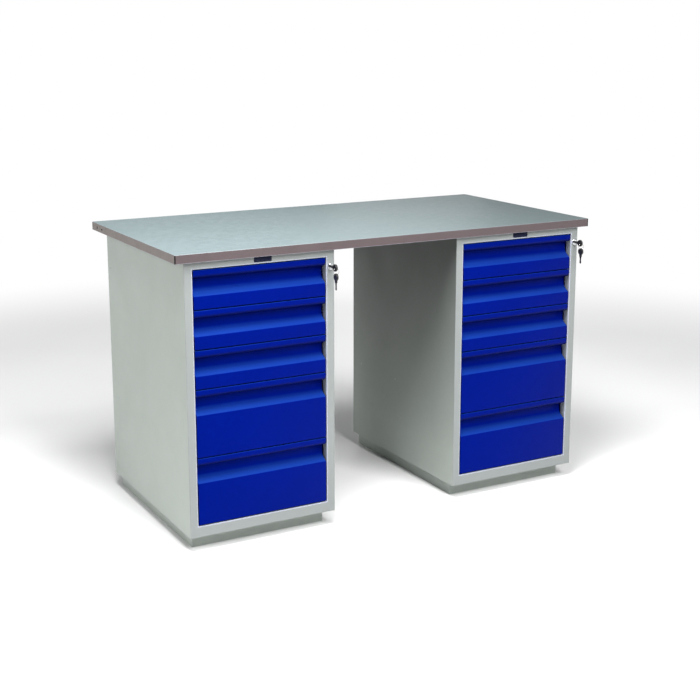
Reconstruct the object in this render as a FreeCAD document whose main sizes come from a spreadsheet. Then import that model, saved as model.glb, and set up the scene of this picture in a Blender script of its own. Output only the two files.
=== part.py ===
import FreeCAD, Part
import os
import re
from math import cos, radians, sin

import Sketcher

# A steel workbench: a sheet-covered worktop on two pedestals of five drawers each, each
# pedestal with its own central lock. Millimetres, +Z up, +X to the user's right, -Y towards
# the user. The origin is on the floor, under the middle of the whole bench, keys included.

# Every driving size, written once. Each becomes a named cell of the sheet.
SIZES = {
    # worktop
    "worktop_length": 1400,
    "worktop_depth": 700,
    "bench_height": 860,
    "core_thickness": 24,
    "cover_sheet": 1,
    "cover_seam": 1.6,
    "cover_fold_radius": 1.5,
    "core_clearance": 0.2,
    # pedestals
    "pedestal_width": 460,
    "pedestal_depth": 640,
    "side_overhang": 30,
    "front_overhang": 13,
    "carcass_sheet": 1,
    "side_hole_diameter": 4,
    "side_hole_edge": 20,
    "side_hole_upper": 720,
    "side_hole_lower": 408,
    "runner_hole_edge": 13,
    "runner_hole_pitch": 228,
    # front frame round the drawers
    "left_stile": 24,
    "right_stile": 26,
    "top_rail": 21.5,
    "bottom_rail": 32.5,
    "frame_sheet": 1.5,
    "frame_return": 20,
    "frame_fold_radius": 1.2,
    # plinth
    "plinth_height": 45,
    "plinth_front_inset": 45,
    "plinth_side_inset": 20,
    "plinth_back_inset": 5,
    "plinth_sheet": 2,
    "plinth_foot": 18,
    # drawer fronts
    "front_gap": 3,
    "small_front_height": 109.5,
    "front_sheet": 1,
    "front_fold_radius": 1.5,
    "grip_band": 22.5,
    "grip_height": 33.5,
    "grip_slant": 16,
    "grip_depth": 25,
    # drawer trays
    "tray_sheet": 1,
    "tray_rim": 8,
    "tray_side_gap": 13,
    "tray_bottom_gap": 8,
    "tray_top_gap": 14,
    "tray_rear_space": 54,
    # drawer runners
    "runner_sheet": 1.5,
    "runner_height": 29,
    "runner_rise": 7,
    "runner_setback": 20,
    "runner_rear_setback": 40,
    "cabinet_runner_rear_space": 43,
    "runner_play": 1,
    "runner_edge": 0.5,
    "runner_end_play": 1.5,
    # worktop screws
    "screw_diameter": 6,
    "screw_length": 20,
    "screw_head_diameter": 12,
    "screw_head_height": 3.5,
    "screw_clearance": 0.5,
    "screw_edge": 60,
    # badge plates
    "badge_width": 54,
    "badge_height": 16,
    "badge_sheet": 1,
    "badge_offset": 5,
    "badge_top_gap": 1,
    # central lock
    "lock_below_top": 49,
    "lock_rim_overhang": 1.5,
    "lock_rim_height": 5,
    "lock_rim_round": 1,
    "lock_barrel_wall": 1.3,
    "lock_barrel_length": 22,
    "lock_plug_diameter": 13,
    "lock_fit": 0.2,
    "lock_nut_overhang": 2,
    "lock_nut_height": 4,
    "lock_arm_gap": 4,
    "lock_arm_sheet": 2.5,
    "lock_arm_width": 8,
    "lock_pin_diameter": 4,
    "lock_pin_play": 0.6,
    "lock_lift": 12,
    # bar behind the right stile that blocks the drawers; it leans towards the side sheet
    "bar_setback": 34,
    "bar_sheet": 2,
    "bar_width": 16,
    "bar_lean": 1,
    "bar_head_width": 24,
    "bar_head_height": 24,
    "bar_guide_play": 1,
    "bar_guide_height": 20,
    "bar_guide_overlap": 3,
    "lower_guide_rise": 197.5,
    "upper_guide_rise": 553,
    "finger_height": 4,
    "finger_reach": 16,
    "finger_rise": 50,
    "catch_gap": 2,
    "catch_height": 12,
    "catch_play": 1.5,
    "catch_reach": 10,
    "catch_sheet": 2,
    # keys
    "key_bow_diameter": 21,
    "key_bow_thickness": 7,
    "key_bow_round": 2,
    "key_bow_proud": 30,
    "key_blade_length": 28,
    "key_blade_width": 7.5,
    "key_blade_sheet": 2,
    "key_neck_length": 6,
    "key_neck_width": 9,
    "key_neck_thickness": 5,
    "key_hole_diameter": 5,
    "key_hole_offset": 5,
    "keyway_play": 0.3,
    "keyway_depth": 15,
    "ring_diameter": 19,
    "ring_wire": 1.2,
    "ring_play": 0.2,
}

# Places that several pieces share, each worked out from the sizes above.
RING_HOLE_REACH = "(key_bow_proud + key_hole_offset)"
# The spare key hangs furthest out, so it sets how far the bench reaches in front of its worktop.
WORKTOP_FRONT = f"(({RING_HOLE_REACH} + key_bow_diameter / 2 - front_overhang - worktop_depth) / 2)"
FACE = f"({WORKTOP_FRONT} + front_overhang)"
WORKTOP_UNDERSIDE = "(bench_height - cover_sheet - core_thickness)"
CARCASS_HEIGHT = f"({WORKTOP_UNDERSIDE} - plinth_height)"
OPENING_WIDTH = "(pedestal_width - left_stile - right_stile)"
OPENING_FLOOR = "(plinth_height + bottom_rail)"
LARGE_FRONT = f"(({CARCASS_HEIGHT} - top_rail - bottom_rail - 6 * front_gap - 3 * small_front_height) / 2)"
FRONT_WIDTH = f"({OPENING_WIDTH} - 2 * front_gap)"
FRONT_DEPTH = "(grip_depth + front_sheet)"
TRAY_WIDTH = f"({OPENING_WIDTH} - 2 * tray_side_gap)"
TRAY_DEPTH = f"(pedestal_depth - {FRONT_DEPTH} - tray_rear_space)"
RUNNER_START = f"({FRONT_DEPTH} + runner_setback)"
RUNNER_LENGTH = f"({TRAY_DEPTH} - runner_setback - runner_rear_setback)"
CABINET_RUNNER_LENGTH = f"(pedestal_depth - carcass_sheet - cabinet_runner_rear_space - {RUNNER_START})"
LOCK_HEIGHT = f"({WORKTOP_UNDERSIDE} - lock_below_top)"
LOCK_BORE = "(lock_plug_diameter + 2 * lock_fit)"
LOCK_BARREL = f"({LOCK_BORE} + 2 * lock_barrel_wall)"
ARM_START = "(lock_barrel_length + lock_arm_gap)"
CRANK = "(lock_lift / sqrt(2))"
# The ring is a circle, so inside the bow's hole its wire dips by this much at the bow's faces.
RING_DIP = "(ring_diameter / 2 - sqrt((ring_diameter / 2)^2 - (key_bow_thickness / 2)^2))"
RING_SEAT = f"(key_hole_diameter / 2 - ring_wire / 2 - {RING_DIP} - ring_play)"
RING_HEIGHT = f"({LOCK_HEIGHT} - {RING_SEAT} - ring_diameter / 2)"

LEFT_EDGE = {
    "left": "(side_overhang - worktop_length / 2)",
    "right": "(worktop_length / 2 - side_overhang - pedestal_width)",
}
SIDES = ("left", "right")
DRAWERS = (1, 2, 3, 4, 5)   # counted from the top: three small ones above two large ones
SMALL_DRAWERS = 3

doc = FreeCAD.newDocument("Workbench")
sheet = doc.addObject("Spreadsheet::Sheet", "Sizes")
for row, (name, size) in enumerate(SIZES.items(), start=1):
    sheet.set(f"A{row}", name)
    sheet.set(f"B{row}", str(size))
    sheet.setAlias(f"B{row}", name)
doc.recompute()


def cells(text):
    """The expression with each size's name turned into its cell of the sheet."""
    return re.sub(r"[a-z]\w*", lambda word: f"Sizes.{word[0]}" if word[0] in SIZES else word[0], text)


def bind(item, name, text):
    """Drive one property of an object by an expression in the sheet's sizes."""
    item.setExpression(name, cells(text))


def place(item, x, y, z):
    """Put an object's own origin at (x, y, z), each an expression."""
    for axis, text in zip("xyz", (x, y, z)):
        bind(item, f"Placement.Base.{axis}", text)
    return item


def new_body(label):
    """An empty body for one piece; its Label names the piece."""
    body = doc.addObject("PartDesign::Body", label)
    body.Label = label
    body.AllowCompound = True
    return body


def sketch_on(body, role, level):
    """An empty sketch parallel to one origin plane of the body, level millimetres along its axis."""
    sketch = body.newObject("Sketcher::SketchObject", "Sketch")
    plane = next(item for item in body.Origin.OriginFeatures if item.Role == role)
    sketch.AttachmentSupport = [(plane, "")]
    sketch.MapMode = "FlatFace"
    # The XZ plane faces -Y, so a distance along +Y is negative there.
    bind(sketch, "AttachmentOffset.Base.z", f"-({level})" if role == "XZ_Plane" else level)
    return sketch


def number(sketch, text):
    """The present value of an expression."""
    return float(sketch.evalExpression(cells(text)))


def pin_down(sketch, index, where, across, up):
    """Hold one point of the sketch at (across, up), each an expression."""
    for kind, text in (("DistanceX", across), ("DistanceY", up)):
        rule = sketch.addConstraint(Sketcher.Constraint(kind, -1, 1, index, where, number(sketch, text)))
        bind(sketch, f"Constraints[{rule}]", text)


def outline(sketch, corners):
    """Draw a closed outline of straight lines through corners, each a pair of expressions."""
    first = sketch.GeometryCount
    count = len(corners)
    spots = [FreeCAD.Vector(number(sketch, a), number(sketch, b), 0) for a, b in corners]
    for index, spot in enumerate(spots):
        sketch.addGeometry(Part.LineSegment(spot, spots[(index + 1) % count]), False)
    for index in range(count):
        following = first + (index + 1) % count
        sketch.addConstraint(Sketcher.Constraint("Coincident", first + index, 2, following, 1))
    for index, (across, up) in enumerate(corners):
        pin_down(sketch, first + index, 1, across, up)


def circle(sketch, across, up, diameter):
    """Draw a circle about (across, up)."""
    size = number(sketch, diameter)
    centre = FreeCAD.Vector(number(sketch, across), number(sketch, up), 0)
    index = sketch.addGeometry(Part.Circle(centre, FreeCAD.Vector(0, 0, 1), size / 2), False)
    pin_down(sketch, index, 3, across, up)
    rule = sketch.addConstraint(Sketcher.Constraint("Diameter", index, size))
    bind(sketch, f"Constraints[{rule}]", diameter)


def box_outline(left, low, right, high):
    """The four corners of an upright rectangle."""
    return [(left, low), (right, low), (right, high), (left, high)]


def draw(body, role, level, outlines, circles):
    """A sketch of closed outlines and circles."""
    sketch = sketch_on(body, role, level)
    for corners in outlines:
        outline(sketch, corners)
    for spot in circles:
        circle(sketch, *spot)
    return sketch


def pad(body, role, start, end, outlines=(), circles=()):
    """Add material between two levels along the plane's axis."""
    feature = body.newObject("PartDesign::Pad", "Pad")
    feature.Profile = draw(body, role, start, outlines, circles)
    feature.Reversed = role == "XZ_Plane"
    bind(feature, "Length", f"({end}) - ({start})")
    body.Tip = feature
    return feature


def pocket(body, role, start, end, outlines=(), circles=()):
    """Take material away between two levels along the plane's axis."""
    feature = body.newObject("PartDesign::Pocket", "Pocket")
    # A pocket cuts against its plane's normal: along +Y from an XZ sketch, downwards from the others.
    feature.Profile = draw(body, role, start if role == "XZ_Plane" else end, outlines, circles)
    bind(feature, "Length", f"({end}) - ({start})")
    body.Tip = feature
    return feature


def round_edges(body, radius, wanted):
    """Fillet the edges of the body's present shape for which wanted(edge) is true."""
    doc.recompute()
    base = body.Tip
    names = [f"Edge{index}" for index, edge in enumerate(base.Shape.Edges, start=1) if wanted(edge)]
    feature = body.newObject("PartDesign::Fillet", "Fillet")
    feature.Base = (base, names)
    bind(feature, "Radius", radius)
    body.Tip = feature
    return feature


def runs_along(edge, axis):
    """Whether a straight edge runs along X, Y or Z (0, 1 or 2)."""
    if not isinstance(edge.Curve, Part.Line):
        return False
    return abs(edge.Curve.Direction[axis]) > 0.999


def lies_at(edge, axis, level):
    """Whether the middle of an edge lies at one level along an axis."""
    return abs(edge.BoundBox.Center[axis] - level) < 0.01


def group(label, members):
    """Several separate solids that share one node."""
    compound = doc.addObject("Part::Compound", label)
    compound.Label = label
    compound.Links = members
    return compound


def drawer_floor(drawer):
    """Height of the bottom edge of a drawer's front."""
    below = len(DRAWERS) - drawer
    large_below = min(below, len(DRAWERS) - SMALL_DRAWERS)
    small_below = below - large_below
    return (f"({OPENING_FLOOR} + {below + 1} * front_gap + {large_below} * {LARGE_FRONT}"
            f" + {small_below} * small_front_height)")


def front_height(drawer):
    """Height of a drawer's front."""
    return "small_front_height" if drawer <= SMALL_DRAWERS else LARGE_FRONT


# ---- worktop ----

def worktop_screw_spots():
    """The places of the screws in one pedestal's top, from its left front corner."""
    columns = ("screw_edge", "(pedestal_width - screw_edge)")
    rows = ("(frame_return + screw_edge)", "(pedestal_depth - screw_edge)")
    return [(across, back) for across in columns for back in rows]


def make_worktop_core():
    """Plywood board inside the sheet cover, with pilot holes for the screws from the pedestals."""
    body = new_body("worktop_core")
    slack = "(cover_sheet + core_clearance)"
    place(body, "-worktop_length / 2", WORKTOP_FRONT, WORKTOP_UNDERSIDE)
    corners = box_outline(slack, slack, f"worktop_length - {slack}", f"worktop_depth - {slack}")
    pad(body, "XY_Plane", "0", "core_thickness", [corners])
    holes = []
    for side in SIDES:
        for across, back in worktop_screw_spots():
            x = f"{LEFT_EDGE[side]} + worktop_length / 2 + {across}"
            holes.append((x, f"front_overhang + {back}", "screw_diameter"))
    pocket(body, "XY_Plane", "0", "screw_length + screw_clearance", circles=holes)
    return body


def make_worktop_cover():
    """Galvanised sheet folded down round all four edges, with an open seam at each corner."""
    body = new_body("worktop_cover")
    place(body, "-worktop_length / 2", WORKTOP_FRONT, WORKTOP_UNDERSIDE)
    thickness = "(core_thickness + cover_sheet)"
    pad(body, "XY_Plane", "0", thickness, [box_outline("0", "0", "worktop_length", "worktop_depth")])
    top = SIZES["core_thickness"] + SIZES["cover_sheet"]
    round_edges(body, "cover_fold_radius", lambda edge: lies_at(edge, 2, top))
    inside = box_outline("cover_sheet", "cover_sheet", "worktop_length - cover_sheet",
                         "worktop_depth - cover_sheet")
    pocket(body, "XY_Plane", "0", "core_thickness", [inside])
    seams = []
    for left, right in (("0", "cover_seam"), ("worktop_length - cover_seam", "worktop_length")):
        for low, high in (("0", "cover_seam"), ("worktop_depth - cover_seam", "worktop_depth")):
            seams.append(box_outline(left, low, right, high))
    pocket(body, "XY_Plane", "0", f"{thickness} - cover_fold_radius", seams)
    return body


def make_worktop_screws():
    """Pan-head screws up through the pedestals' tops into the board."""
    screws = []
    for side in SIDES:
        for across, back in worktop_screw_spots():
            body = new_body(f"{side}_screw")
            place(body, f"{LEFT_EDGE[side]} + {across}", f"{FACE} + {back}", WORKTOP_UNDERSIDE)
            pad(body, "XY_Plane", "-carcass_sheet - screw_head_height", "-carcass_sheet",
                circles=[("0", "0", "screw_head_diameter")])
            pad(body, "XY_Plane", "-carcass_sheet", "screw_length", circles=[("0", "0", "screw_diameter")])
            screws.append(body)
    return group("worktop_screws", screws)


# ---- pedestal carcass ----

def place_in_pedestal(body, side, across="0", back="0", height="0"):
    """Put a body in one pedestal, measured from its left edge, its face and the floor."""
    return place(body, f"{LEFT_EDGE[side]} + {across}", f"{FACE} + {back}", height)


def make_side_panel(side, hand):
    """One side sheet, with fixing holes; the right-hand one carries the lock bar's guides."""
    position = "outer" if side == hand else "inner"
    body = new_body(f"{side}_{position}_side")
    across = "0" if hand == "left" else "(pedestal_width - carcass_sheet)"
    place_in_pedestal(body, side, across, "frame_sheet", "plinth_height")
    sheet_outline = box_outline("0", "0", "pedestal_depth - frame_sheet", CARCASS_HEIGHT)
    pad(body, "YZ_Plane", "0", "carcass_sheet", [sheet_outline])
    rear = "pedestal_depth - side_hole_edge - frame_sheet"
    runner_middle = f"({drawer_floor(4)} + tray_bottom_gap + runner_rise + runner_height / 2 - plinth_height)"
    runner_rear = f"({RUNNER_START} + {CABINET_RUNNER_LENGTH} - frame_sheet - runner_hole_edge)"
    runner_front = f"({runner_rear} - runner_hole_pitch)"
    holes = [(rear, "side_hole_upper - plinth_height", "side_hole_diameter"),
             (rear, "side_hole_lower - plinth_height", "side_hole_diameter"),
             (runner_rear, runner_middle, "side_hole_diameter"),
             (runner_front, runner_middle, "side_hole_diameter")]
    pocket(body, "YZ_Plane", "0", "carcass_sheet", circles=holes)
    if hand == "right":
        add_bar_guides(body)
    return body


def add_bar_guides(body):
    """Two pairs of tabs on the side sheet, one tab before and one behind the lock bar."""
    reach = "(right_stile / 2 - carcass_sheet - bar_width / 2 - bar_lean + bar_guide_overlap)"
    before = "(bar_setback - bar_guide_play - bar_sheet - frame_sheet)"
    behind = "(bar_setback + bar_sheet + bar_guide_play - frame_sheet)"
    for low in ("lower_guide_rise", "upper_guide_rise"):
        for near in (before, behind):
            tab = box_outline(f"-{reach}", near, "0", f"{near} + bar_sheet")
            pad(body, "XY_Plane", low, f"{low} + bar_guide_height", [tab])


def make_flat_panel(label, side, level, holes=()):
    """A level sheet between the side sheets: the pedestal's floor or top."""
    body = new_body(label)
    place_in_pedestal(body, side, "carcass_sheet", "frame_sheet", level)
    corners = box_outline("0", "0", "pedestal_width - 2 * carcass_sheet",
                          "pedestal_depth - frame_sheet - carcass_sheet")
    pad(body, "XY_Plane", "0", "carcass_sheet", [corners])
    if holes:
        pocket(body, "XY_Plane", "0", "carcass_sheet", circles=holes)
    return body


def make_top_panel(side):
    """The sheet under the worktop, drilled for the worktop's screws."""
    holes = [(f"{across} - carcass_sheet", f"{back} - frame_sheet", "screw_diameter + 2 * screw_clearance")
             for across, back in worktop_screw_spots()]
    return make_flat_panel(f"{side}_top_panel", side, f"{WORKTOP_UNDERSIDE} - carcass_sheet", holes)


def make_back_panel(side):
    """The sheet that closes the back, between floor and top."""
    body = new_body(f"{side}_back_panel")
    place_in_pedestal(body, side, "carcass_sheet", "(pedestal_depth - carcass_sheet)", "plinth_height")
    corners = box_outline("0", "0", "pedestal_width - 2 * carcass_sheet", CARCASS_HEIGHT)
    pad(body, "XZ_Plane", "0", "carcass_sheet", [corners])
    return body


def make_front_frame(side):
    """The face of the pedestal: a sheet with one opening, folded back all round the opening."""
    body = new_body(f"{side}_front_frame")
    place_in_pedestal(body, side, height="plinth_height")
    opening = ["left_stile", "bottom_rail", "pedestal_width - right_stile", f"{CARCASS_HEIGHT} - top_rail"]
    face = box_outline("0", "0", "pedestal_width", CARCASS_HEIGHT)
    pad(body, "XZ_Plane", "0", "frame_sheet", [face, box_outline(*opening)])
    fold = [f"{opening[0]} - frame_sheet", f"{opening[1]} - frame_sheet",
            f"{opening[2]} + frame_sheet", f"{opening[3]} + frame_sheet"]
    pad(body, "XZ_Plane", "frame_sheet", "frame_sheet + frame_return",
        [box_outline(*fold), box_outline(*opening)])
    round_edges(body, "frame_fold_radius", lambda edge: lies_at(edge, 1, 0))
    lock = ("pedestal_width - right_stile / 2", f"{LOCK_HEIGHT} - plinth_height",
            f"{LOCK_BARREL} + 2 * lock_fit")
    pocket(body, "XZ_Plane", "0", "frame_sheet", circles=[lock])
    return body


def make_plinth(side):
    """The recessed base: a folded ring with a foot flange turned inwards."""
    body = new_body(f"{side}_plinth")
    place_in_pedestal(body, side)
    edges = ["plinth_side_inset", "plinth_front_inset", "pedestal_width - plinth_side_inset",
             "pedestal_depth - plinth_back_inset"]

    def ring(wall):
        inner = [f"{edges[0]} + {wall}", f"{edges[1]} + {wall}", f"{edges[2]} - {wall}",
                 f"{edges[3]} - {wall}"]
        return [box_outline(*edges), box_outline(*inner)]

    pad(body, "XY_Plane", "0", "plinth_sheet", ring("plinth_foot"))
    pad(body, "XY_Plane", "plinth_sheet", "plinth_height", ring("plinth_sheet"))
    return body


def make_badge_plates():
    """A plain name plate on each pedestal's top rail."""
    plates = []
    for side in SIDES:
        plate = doc.addObject("Part::Box", f"{side}_badge")
        bind(plate, "Length", "badge_width")
        bind(plate, "Width", "badge_sheet")
        bind(plate, "Height", "badge_height")
        place_in_pedestal(plate, side, "(pedestal_width / 2 + badge_offset - badge_width / 2)",
                          "-badge_sheet",
                          f"{WORKTOP_UNDERSIDE} - badge_top_gap - badge_height")
        plates.append(plate)
    return group("badge_plates", plates)


# ---- drawers ----

def make_drawer_front(side, drawer):
    """A folded front with a finger grip across its full width, rounded along its folds."""
    height = front_height(drawer)
    body = new_body(f"{side}_drawer_{drawer}_front")
    place_in_pedestal(body, side, "left_stile + front_gap", "0", drawer_floor(drawer))
    lip = f"{height} - grip_band"
    wall_foot = f"{lip} - grip_height"
    slant_foot = f"{wall_foot} - grip_slant"
    block = [("0", "0"), (FRONT_DEPTH, "0"), (FRONT_DEPTH, height), ("0", height), ("0", lip),
             ("grip_depth", lip), ("grip_depth", wall_foot), ("0", slant_foot)]
    pad(body, "YZ_Plane", "0", FRONT_WIDTH, [block])
    back = SIZES["grip_depth"] + SIZES["front_sheet"]
    round_edges(body, "front_fold_radius",
                lambda edge: runs_along(edge, 0) and not lies_at(edge, 1, back))
    slope = "(grip_slant / grip_depth)"
    under_slant = f"{slant_foot} - front_sheet * sqrt(1 + {slope}^2)"
    band_hollow = box_outline("front_sheet", f"{lip} + front_sheet", FRONT_DEPTH, f"{height} - front_sheet")
    lower_hollow = [("front_sheet", "front_sheet"), (FRONT_DEPTH, "front_sheet"),
                    (FRONT_DEPTH, f"{under_slant} + {slope} * {FRONT_DEPTH}"),
                    ("front_sheet", f"{under_slant} + {slope} * front_sheet")]
    for hollow in (band_hollow, lower_hollow):
        pocket(body, "YZ_Plane", "front_sheet", f"{FRONT_WIDTH} - front_sheet", [hollow])
    return body


def make_drawer_tray(side, drawer):
    """An open sheet box with its side rims folded in, and a catch tab for the lock bar's finger."""
    body = new_body(f"{side}_drawer_{drawer}_tray")
    place_in_pedestal(body, side, "left_stile + tray_side_gap", FRONT_DEPTH,
                      f"{drawer_floor(drawer)} + tray_bottom_gap")
    height = f"({front_height(drawer)} - tray_bottom_gap - tray_top_gap)"
    under_rim = f"{height} - tray_sheet"
    section = [("0", "0"), (TRAY_WIDTH, "0"), (TRAY_WIDTH, height), (f"{TRAY_WIDTH} - tray_rim", height),
               (f"{TRAY_WIDTH} - tray_rim", under_rim), (f"{TRAY_WIDTH} - tray_sheet", under_rim),
               (f"{TRAY_WIDTH} - tray_sheet", "tray_sheet"), ("tray_sheet", "tray_sheet"),
               ("tray_sheet", under_rim), ("tray_rim", under_rim), ("tray_rim", height), ("0", height)]
    pad(body, "XZ_Plane", "0", TRAY_DEPTH, [section])
    end_wall = box_outline("0", "0", TRAY_WIDTH, height)
    pad(body, "XZ_Plane", "0", "tray_sheet", [end_wall])
    pad(body, "XZ_Plane", f"{TRAY_DEPTH} - tray_sheet", TRAY_DEPTH, [end_wall])
    near = f"(bar_setback + bar_sheet + catch_play - {FRONT_DEPTH})"
    catch = box_outline(TRAY_WIDTH, near, f"{TRAY_WIDTH} + catch_reach", f"{near} + catch_sheet")
    catch_floor = "(finger_rise + finger_height + catch_gap)"
    pad(body, "XY_Plane", catch_floor, f"{catch_floor} + catch_height", [catch])
    return body


def make_drawer_runners(side, drawer):
    """The two rails on a drawer's sides, one outline mirrored about the tray."""
    body = new_body(f"{side}_drawer_{drawer}_runners")
    place_in_pedestal(body, side, "left_stile + tray_side_gap", RUNNER_START,
                      f"{drawer_floor(drawer)} + tray_bottom_gap + runner_rise + runner_sheet + runner_play")
    height = "(runner_height - 2 * runner_sheet - 2 * runner_play)"
    reach = "(tray_side_gap - runner_edge - runner_sheet - runner_end_play)"
    section = [("0", "0"), (reach, "0"), (reach, "runner_sheet"), ("runner_sheet", "runner_sheet"),
               ("runner_sheet", f"{height} - runner_sheet"), (reach, f"{height} - runner_sheet"),
               (reach, height), ("0", height)]
    left = [(f"-({out})", up) for out, up in section]
    right = [(f"{TRAY_WIDTH} + {out}", up) for out, up in section]
    pad(body, "XZ_Plane", "0", RUNNER_LENGTH, [left, right])
    return body


def make_cabinet_runners():
    """The fixed rails: a channel round each drawer rail, with a web and foot out to the side sheet."""
    rails = []
    gap_to_sheet = {"left": "(left_stile + tray_side_gap - carcass_sheet)",
                    "right": "(right_stile + tray_side_gap - carcass_sheet)"}
    near = "(runner_sheet + runner_play)"
    far = "(tray_side_gap - runner_edge)"
    for side in SIDES:
        for drawer in DRAWERS:
            body = new_body(f"{side}_drawer_{drawer}_cabinet_runner")
            place_in_pedestal(body, side, "left_stile + tray_side_gap", RUNNER_START,
                              f"{drawer_floor(drawer)} + tray_bottom_gap + runner_rise")
            outlines = []
            for hand, foot in gap_to_sheet.items():
                section = [(near, "0"), (foot, "0"), (foot, "runner_height"),
                           (f"{foot} - runner_sheet", "runner_height"),
                           (f"{foot} - runner_sheet", "runner_sheet"), (far, "runner_sheet"),
                           (far, "runner_height"), (near, "runner_height"),
                           (near, "runner_height - runner_sheet"),
                           (f"{far} - runner_sheet", "runner_height - runner_sheet"),
                           (f"{far} - runner_sheet", "runner_sheet"), (near, "runner_sheet")]
                if hand == "left":
                    outlines.append([(f"-({out})", up) for out, up in section])
                else:
                    outlines.append([(f"{TRAY_WIDTH} + {out}", up) for out, up in section])
            pad(body, "XZ_Plane", "0", CABINET_RUNNER_LENGTH, outlines)
            rails.append(body)
    return group("cabinet_runners", rails)


# ---- central lock ----

def place_at_lock(body, side):
    """Put a body on the lock's axis, its own origin on the pedestal's face."""
    return place_in_pedestal(body, side, "(pedestal_width - right_stile / 2)", "0", LOCK_HEIGHT)


def make_lock_bodies():
    """The fixed barrels in the right stiles, each with its nut behind the stile."""
    members = []
    corner = f"({LOCK_BARREL} / 2 + lock_nut_overhang) / cos(30)"
    hexagon = [(f"{cos(radians(angle))} * {corner}", f"{sin(radians(angle))} * {corner}")
               for angle in range(30, 390, 60)]
    for side in SIDES:
        barrel = place_at_lock(new_body(f"{side}_lock_barrel"), side)
        pad(barrel, "XZ_Plane", "-lock_rim_height", "0",
            circles=[("0", "0", f"{LOCK_BARREL} + 2 * lock_rim_overhang"), ("0", "0", LOCK_BORE)])
        pad(barrel, "XZ_Plane", "0", "lock_barrel_length",
            circles=[("0", "0", LOCK_BARREL), ("0", "0", LOCK_BORE)])
        rim = -SIZES["lock_rim_height"]
        bore = SIZES["lock_plug_diameter"]
        round_edges(barrel, "lock_rim_round",
                    lambda edge: lies_at(edge, 1, rim) and edge.BoundBox.XLength > bore + 1)
        nut = place_at_lock(new_body(f"{side}_lock_nut"), side)
        pad(nut, "XZ_Plane", "frame_sheet", "frame_sheet + lock_nut_height", [hexagon],
            [("0", "0", LOCK_BARREL)])
        members += [barrel, nut]
    return group("lock_bodies", members)


def make_lock_plug(side):
    """The turning core: a keyed cylinder with a crank arm and pin at its rear end."""
    body = place_at_lock(new_body(f"{side}_lock_plug"), side)
    pad(body, "XZ_Plane", "-lock_rim_height", ARM_START, circles=[("0", "0", "lock_plug_diameter")])
    half = "lock_arm_width / 2"
    length = f"({CRANK} + {half})"
    arm = [(f"{half} / sqrt(2)", f"-{half} / sqrt(2)"), (f"-{half} / sqrt(2)", f"{half} / sqrt(2)"),
           (f"-({length} + {half}) / sqrt(2)", f"-({length} - {half}) / sqrt(2)"),
           (f"-({length} - {half}) / sqrt(2)", f"-({length} + {half}) / sqrt(2)")]
    arm_end = f"({ARM_START} + lock_arm_sheet)"
    pad(body, "XZ_Plane", ARM_START, arm_end, [arm])
    pin_end = "(bar_setback + 2 * bar_sheet)"
    pad(body, "XZ_Plane", arm_end, pin_end, circles=[("-lock_lift / 2", "-lock_lift / 2", "lock_pin_diameter")])
    wide = "(key_blade_sheet / 2 + keyway_play)"
    tall = "(key_blade_width / 2 + keyway_play)"
    keyway = box_outline(f"-{wide}", f"-{tall}", wide, tall)
    pocket(body, "XZ_Plane", "-lock_rim_height", "keyway_depth - lock_rim_height", [keyway])
    return body


def make_lock_bar(side):
    """A flat bar behind the right stile, with a slotted head and one finger for each drawer."""
    body = place_at_lock(new_body(f"{side}_lock_bar"), side)
    front = "bar_setback"
    rear = "bar_setback + bar_sheet"
    half = "bar_width / 2"
    head_floor = "(-lock_lift / 2 - bar_head_height / 2)"
    fingers = [f"({drawer_floor(drawer)} + tray_bottom_gap + finger_rise - {LOCK_HEIGHT})"
               for drawer in DRAWERS]
    strip = box_outline(f"-{half} + bar_lean", fingers[-1], f"{half} + bar_lean", head_floor)
    pad(body, "XZ_Plane", front, rear, [strip])
    head = box_outline(f"{half} + bar_lean - bar_head_width", head_floor, f"{half} + bar_lean",
                       f"{head_floor} + bar_head_height")
    pad(body, "XZ_Plane", front, rear, [head])
    for low in fingers:
        finger = box_outline(f"-{half} + bar_lean - finger_reach", low, f"{half} + bar_lean",
                             f"{low} + finger_height")
        pad(body, "XZ_Plane", front, rear, [finger])
    room = "(lock_pin_diameter / 2 + lock_pin_play)"
    slot = box_outline(f"-{CRANK} - {room}", f"-lock_lift / 2 - {room}", f"-lock_lift / 2 + {room}",
                       f"-lock_lift / 2 + {room}")
    pocket(body, "XZ_Plane", front, rear, [slot])
    return body


# ---- keys ----

def make_key(label):
    """A key with its bow's centre at its own origin: a round bow, a neck and a blade along +Y."""
    body = new_body(label)
    half = "key_bow_thickness / 2"
    pad(body, "YZ_Plane", f"-{half}", half, circles=[("0", "0", "key_bow_diameter")])
    thick = SIZES["key_bow_thickness"] / 2
    round_edges(body, "key_bow_round", lambda edge: abs(abs(edge.BoundBox.Center.x) - thick) < 0.01)
    rim = "key_bow_diameter / 2"
    neck_end = f"({rim} + key_neck_length)"
    neck = box_outline("0", "-key_neck_width / 2", neck_end, "key_neck_width / 2")
    pad(body, "YZ_Plane", "-key_neck_thickness / 2", "key_neck_thickness / 2", [neck])
    blade_end = f"({rim} + key_blade_length)"
    point = f"({blade_end} - key_blade_width / 2)"
    blade = [(neck_end, "-key_blade_width / 2"), (point, "-key_blade_width / 2"), (blade_end, "0"),
             (point, "key_blade_width / 2"), (neck_end, "key_blade_width / 2")]
    pad(body, "YZ_Plane", "-key_blade_sheet / 2", "key_blade_sheet / 2", [blade])
    pocket(body, "YZ_Plane", f"-{half}", half, circles=[("-key_hole_offset", "0", "key_hole_diameter")])
    return body


def make_lock_key(side):
    """The key in the lock, its blade level in the keyway."""
    body = make_key(f"{side}_key")
    return place_in_pedestal(body, side, "(pedestal_width - right_stile / 2)", "-key_bow_proud", LOCK_HEIGHT)


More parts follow.
